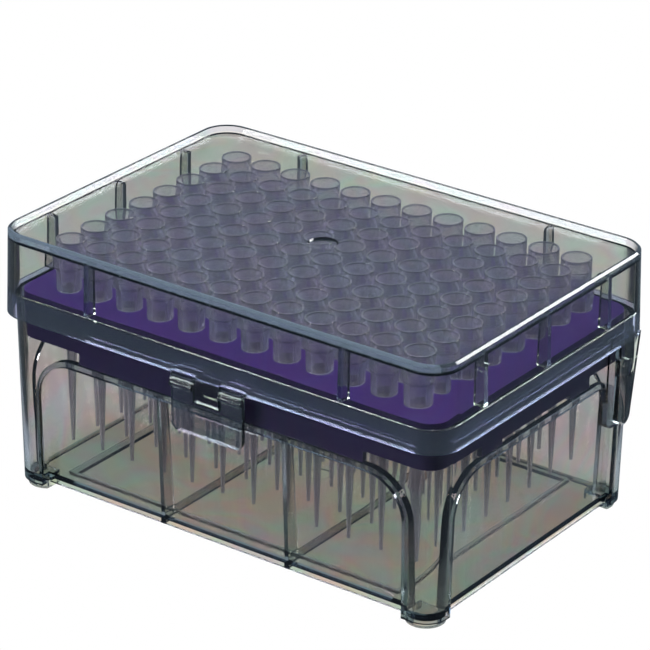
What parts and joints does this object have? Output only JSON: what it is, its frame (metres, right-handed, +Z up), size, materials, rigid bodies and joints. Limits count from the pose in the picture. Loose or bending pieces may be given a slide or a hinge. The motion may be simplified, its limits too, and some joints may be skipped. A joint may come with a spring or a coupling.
{
  "type": "pipette tip box",
  "caption": "Clear hinged box with a front latch, in which a purple rack holds conical pipette tips upright in a regular grid, ready to be picked up.",
  "frame": {"origin": "middle of the overall outline, on the plane of the feet", "axes": "+X along the long side, -Y towards the latch, +Z up"},
  "size_m": [0.1272, 0.0884, 0.0664],
  "materials": {
    "clear_box": "polished smoky transparent polystyrene",
    "clear_lid": "polished smoky transparent polystyrene",
    "clear_latch": "polished smoky transparent polystyrene",
    "purple_rack": "opaque polypropylene, satin",
    "tip_plastic": "natural translucent polypropylene"
  },
  "bodies": {
    "base": {"base": "clear_box", "rack": "purple_rack", "tips_column_01": "tip_plastic", "tips_column_02": "tip_plastic", "tips_column_03": "tip_plastic", "tips_column_04": "tip_plastic", "tips_column_05": "tip_plastic", "tips_column_06": "tip_plastic", "tips_column_07": "tip_plastic", "tips_column_08": "tip_plastic", "tips_column_09": "tip_plastic", "tips_column_10": "tip_plastic", "tips_column_11": "tip_plastic", "tips_column_12": "tip_plastic"},
    "lid": {"lid": "clear_lid"},
    "latch": {"latch": "clear_latch"}
  },
  "joints": [
    {"name": "lid_hinge", "type": "hinge", "parent": "base", "child": "lid", "pos_m": [0, 0.0343, 0.0385], "axis": [-1, 0, 0], "range_deg": [0, 100]},
    {"name": "latch_hinge", "type": "hinge", "parent": "lid", "child": "latch", "pos_m": [0, -0.0431, 0.0441], "axis": [-1, 0, 0], "range_deg": [0, 100]}
  ]
}
